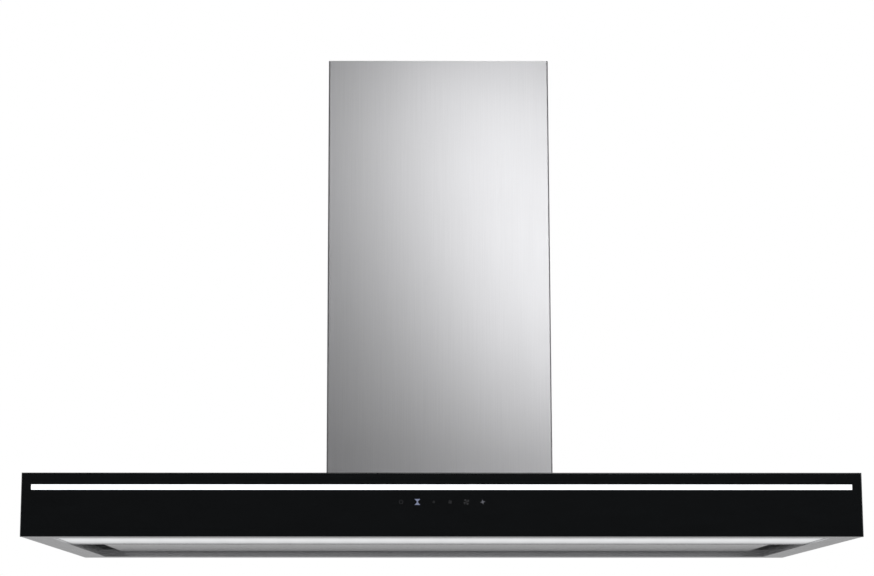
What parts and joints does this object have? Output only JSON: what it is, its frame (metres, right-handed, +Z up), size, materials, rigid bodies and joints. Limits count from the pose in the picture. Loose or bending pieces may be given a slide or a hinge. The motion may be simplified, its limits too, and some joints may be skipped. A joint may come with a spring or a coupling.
{
  "type": "island range hood",
  "caption": "Ceiling-hung T-shaped range hood: shallow wide body with black glass front and lit line, steel chimney, hinged suction panel, filters and blower.",
  "frame": {"origin": "centre of the ceiling plate's top face, where the hood meets the ceiling", "axes": "+X to the user's right at the control side, +Y away from the control side, +Z up towards the ceiling"},
  "size_m": [1.2, 0.65, 0.745],
  "materials": {
    "black_glass": "polished, back-painted black",
    "trim_aluminium": "dark anodised satin",
    "raw_aluminium": "mill satin",
    "brushed_stainless": "fine vertical or lengthwise brushing",
    "galvanised_steel": "galvanised sheet",
    "bright_steel": "zinc plated",
    "lit_opal": "satin opal, lit from inside",
    "white_enamel": "white powder coat",
    "dark_plastic": "moulded, fine texture",
    "wheel_plastic": "moulded",
    "filter_mesh": "layered expanded mesh",
    "circuit_board": "white solder mask",
    "motor_windings": "lacquered laminations and copper",
    "soft_rubber": "moulded"
  },
  "bodies": {
    "canopy": {"back_panel": "brushed_stainless", "blower_box": "galvanised_steel", "cable_gland": "dark_plastic", "catch_magnets": "dark_plastic", "control_board": "circuit_board", "control_box": "dark_plastic", "control_box_lid": "dark_plastic", "cover_screws": "bright_steel", "divider_bar": "brushed_stainless", "duct_collar": "dark_plastic", "filter_frames": "raw_aluminium", "filter_meshes": "filter_mesh", "filter_shelf": "galvanised_steel", "flap_pin": "bright_steel", "frame_bolts": "bright_steel", "front_glass": "black_glass", "front_panel": "brushed_stainless", "glass_trim": "trim_aluminium", "left_side_panel": "brushed_stainless", "light_bar_board": "circuit_board", "light_bar_channel": "raw_aluminium", "light_bar_diffuser": "lit_opal", "lower_cover_back": "brushed_stainless", "lower_cover_front": "brushed_stainless", "lower_frame_angles": "galvanised_steel", "motor_bearings": "bright_steel", "motor_bracket": "galvanised_steel", "motor_bushes": "soft_rubber", "motor_can": "galvanised_steel", "motor_stator": "motor_windings", "mounting_plate": "galvanised_steel", "outlet_transition": "dark_plastic", "panel_hinge_brackets": "galvanised_steel", "panel_hinge_pins": "bright_steel", "right_side_panel": "brushed_stainless", "scroll_left_half": "dark_plastic", "scroll_right_half": "dark_plastic", "top_panel": "brushed_stainless", "touch_board": "circuit_board", "touch_carrier": "dark_plastic", "work_light_boards": "circuit_board", "work_light_diffuser": "lit_opal", "work_light_tray": "white_enamel"},
    "ceiling_section": {"ceiling_plate": "galvanised_steel", "upper_frame_angles": "galvanised_steel", "upper_cover_front": "brushed_stainless", "upper_cover_back": "brushed_stainless", "ceiling_section_bolts": "bright_steel"},
    "suction_panel_door": {"suction_panel": "brushed_stainless", "panel_stiffeners": "galvanised_steel", "catch_strikes": "galvanised_steel", "panel_hinge_leaves": "galvanised_steel"},
    "impeller_assembly": {"impeller": "wheel_plastic", "motor_shaft": "bright_steel", "motor_rotor": "motor_windings"},
    "front_flap": {"front_flap": "dark_plastic"},
    "back_flap": {"back_flap": "dark_plastic"},
    "left_latch": {"left_filter_latch": "dark_plastic"},
    "middle_latch": {"middle_filter_latch": "dark_plastic"},
    "right_latch": {"right_filter_latch": "dark_plastic"}
  },
  "joints": [
    {"name": "chimney_height", "type": "slide", "parent": "canopy", "child": "ceiling_section", "axis": [0, 0, 1], "range_m": [0, 0.25]},
    {"name": "panel_hinge", "type": "hinge", "parent": "canopy", "child": "suction_panel_door", "pos_m": [0, 0.25, -0.717], "axis": [1, 0, 0], "range_deg": [0, 88]},
    {"name": "impeller_spin", "type": "hinge", "parent": "canopy", "child": "impeller_assembly", "pos_m": [0, -0.015, -0.5345], "axis": [1, 0, 0], "continuous": true},
    {"name": "front_flap_hinge", "type": "hinge", "parent": "canopy", "child": "front_flap", "pos_m": [0, 0, -0.357], "axis": [-1, 0, 0], "range_deg": [0, 75]},
    {"name": "back_flap_hinge", "type": "hinge", "parent": "canopy", "child": "back_flap", "pos_m": [0, 0, -0.357], "axis": [1, 0, 0], "range_deg": [0, 75]},
    {"name": "left_latch_slide", "type": "slide", "parent": "canopy", "child": "left_latch", "axis": [0, 1, 0], "range_m": [0, 0.005], "stiffness_N_per_m": 400, "springref_m": -0.004},
    {"name": "middle_latch_slide", "type": "slide", "parent": "canopy", "child": "middle_latch", "axis": [0, 1, 0], "range_m": [0, 0.005], "stiffness_N_per_m": 400, "springref_m": -0.004},
    {"name": "right_latch_slide", "type": "slide", "parent": "canopy", "child": "right_latch", "axis": [0, 1, 0], "range_m": [0, 0.005], "stiffness_N_per_m": 400, "springref_m": -0.004}
  ]
}
